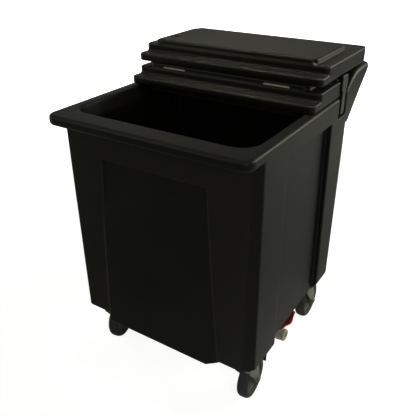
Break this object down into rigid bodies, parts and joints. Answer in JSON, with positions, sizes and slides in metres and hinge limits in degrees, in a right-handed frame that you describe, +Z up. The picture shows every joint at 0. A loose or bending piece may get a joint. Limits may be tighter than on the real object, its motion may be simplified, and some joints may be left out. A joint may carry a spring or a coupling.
{
  "type": "mobile ice bin",
  "caption": "Black insulated mobile ice bin on casters with a push handle, a sliding split lid stacked open, strap latches, a drain shelf and a ball-valve drain.",
  "frame": {"origin": "on the floor, under the middle of the whole bin's footprint", "axes": "+Z up, +Y from the front towards the push handle, +X to the right seen from the front"},
  "size_m": [0.585, 0.745, 0.9069],
  "materials": {
    "moulded_shell": "black rotationally moulded polyethylene, fine orange-peel texture, satin",
    "foam": "rigid polyurethane foam",
    "glide": "cream nylon, satin",
    "strap": "black moulded nylon, satin",
    "zinc_steel": "bright zinc-plated pressed steel",
    "wheel_core": "light grey moulded polypropylene",
    "tyre": "dark grey non-marking rubber",
    "pedal": "black moulded nylon",
    "valve_plastic": "beige moulded valve plastic",
    "lever": "red moulded handle",
    "shelf": "dark grey polyethylene sheet"
  },
  "bodies": {
    "tub": {"tub_moulding": "moulded_shell", "tub_foam_core": "foam", "tub_foam_plug": "moulded_shell", "rear_lid": "moulded_shell", "rear_lid_foam": "foam", "rear_lid_plug": "moulded_shell", "glide_pad_left": "glide", "glide_pad_right": "glide", "latch_pin_left": "zinc_steel", "latch_pin_right": "zinc_steel", "drain_strainer": "valve_plastic", "drain_fitting": "valve_plastic", "drain_lock_nut": "valve_plastic", "drain_elbow": "valve_plastic", "valve_body": "valve_plastic", "valve_inlet_nut": "valve_plastic", "valve_outlet_nut": "valve_plastic", "caster_plate_front_left": "zinc_steel", "kingpin_front_left": "zinc_steel", "caster_plate_front_right": "zinc_steel", "kingpin_front_right": "zinc_steel", "caster_plate_rear_left": "zinc_steel", "kingpin_rear_left": "zinc_steel", "caster_plate_rear_right": "zinc_steel", "kingpin_rear_right": "zinc_steel"},
    "front_lid": {"front_lid": "moulded_shell", "front_lid_foam": "foam", "front_lid_plug": "moulded_shell"},
    "latch_left": {"latch_strap_left": "strap"},
    "latch_right": {"latch_strap_right": "strap"},
    "valve_handle": {"valve_ball": "valve_plastic", "valve_stem": "zinc_steel", "valve_lever": "lever"},
    "drain_shelf": {"drain_shelf": "shelf"},
    "swivel_front_left": {"fork_front_left": "zinc_steel", "axle_front_left": "zinc_steel", "brake_pin_front_left": "zinc_steel"},
    "wheel_front_left": {"wheel_core_front_left": "wheel_core", "tyre_front_left": "tyre"},
    "brake_front_left": {"brake_pedal_front_left": "pedal"},
    "swivel_front_right": {"fork_front_right": "zinc_steel", "axle_front_right": "zinc_steel", "brake_pin_front_right": "zinc_steel"},
    "wheel_front_right": {"wheel_core_front_right": "wheel_core", "tyre_front_right": "tyre"},
    "brake_front_right": {"brake_pedal_front_right": "pedal"},
    "swivel_rear_left": {"fork_rear_left": "zinc_steel", "axle_rear_left": "zinc_steel"},
    "wheel_rear_left": {"wheel_core_rear_left": "wheel_core", "tyre_rear_left": "tyre"},
    "swivel_rear_right": {"fork_rear_right": "zinc_steel", "axle_rear_right": "zinc_steel"},
    "wheel_rear_right": {"wheel_core_rear_right": "wheel_core", "tyre_rear_right": "tyre"}
  },
  "joints": [
    {"name": "front_lid_slide", "type": "slide", "parent": "tub", "child": "front_lid", "axis": [0, -1, 0], "range_m": [0, 0.375]},
    {"name": "latch_left_swing", "type": "hinge", "parent": "tub", "child": "latch_left", "pos_m": [-0.2845, 0.1655, 0.744], "axis": [0, -1, 0], "range_deg": [0, 104]},
    {"name": "latch_right_swing", "type": "hinge", "parent": "tub", "child": "latch_right", "pos_m": [0.2845, 0.1655, 0.744], "axis": [0, 1, 0], "range_deg": [0, 104]},
    {"name": "valve_turn", "type": "hinge", "parent": "tub", "child": "valve_handle", "pos_m": [0.2545, -0.06745, 0.104], "axis": [0, 0, -1], "range_deg": [-6, 84]},
    {"name": "drain_shelf_lift", "type": "slide", "parent": "tub", "child": "drain_shelf", "axis": [0, 0, 1], "range_m": [0, 0.52]},
    {"name": "swivel_front_left_turn", "type": "hinge", "parent": "tub", "child": "swivel_front_left", "pos_m": [-0.231, -0.2625, 0.15], "axis": [0, 0, 1], "continuous": true},
    {"name": "wheel_front_left_roll", "type": "hinge", "parent": "swivel_front_left", "child": "wheel_front_left", "pos_m": [-0.2382, -0.23132, 0.0625], "axis": [0.9744, 0.225, 0], "continuous": true},
    {"name": "brake_front_left_press", "type": "hinge", "parent": "swivel_front_left", "child": "brake_front_left", "pos_m": [-0.25061, -0.17758, 0.11765], "axis": [0.9744, 0.225, 0], "range_deg": [0, 30]},
    {"name": "swivel_front_right_turn", "type": "hinge", "parent": "tub", "child": "swivel_front_right", "pos_m": [0.247, -0.2625, 0.15], "axis": [0, 0, 1], "continuous": true},
    {"name": "wheel_front_right_roll", "type": "hinge", "parent": "swivel_front_right", "child": "wheel_front_right", "pos_m": [0.24477, -0.23058, 0.0625], "axis": [0.9976, 0.0698, 0], "continuous": true},
    {"name": "brake_front_right_press", "type": "hinge", "parent": "swivel_front_right", "child": "brake_front_right", "pos_m": [0.24092, -0.17556, 0.11765], "axis": [0.9976, 0.0698, 0], "range_deg": [0, 30]},
    {"name": "swivel_rear_left_turn", "type": "hinge", "parent": "tub", "child": "swivel_rear_left", "pos_m": [-0.239, 0.1525, 0.15], "axis": [0, 0, 1], "continuous": true},
    {"name": "wheel_rear_left_roll", "type": "hinge", "parent": "swivel_rear_left", "child": "wheel_rear_left", "pos_m": [-0.239, 0.1845, 0.0625], "axis": [1, 0, 0], "continuous": true},
    {"name": "swivel_rear_right_turn", "type": "hinge", "parent": "tub", "child": "swivel_rear_right", "pos_m": [0.239, 0.1525, 0.15], "axis": [0, 0, 1], "continuous": true},
    {"name": "wheel_rear_right_roll", "type": "hinge", "parent": "swivel_rear_right", "child": "wheel_rear_right", "pos_m": [0.23844, 0.18449, 0.0625], "axis": [0.9998, 0.0175, 0], "continuous": true}
  ]
}
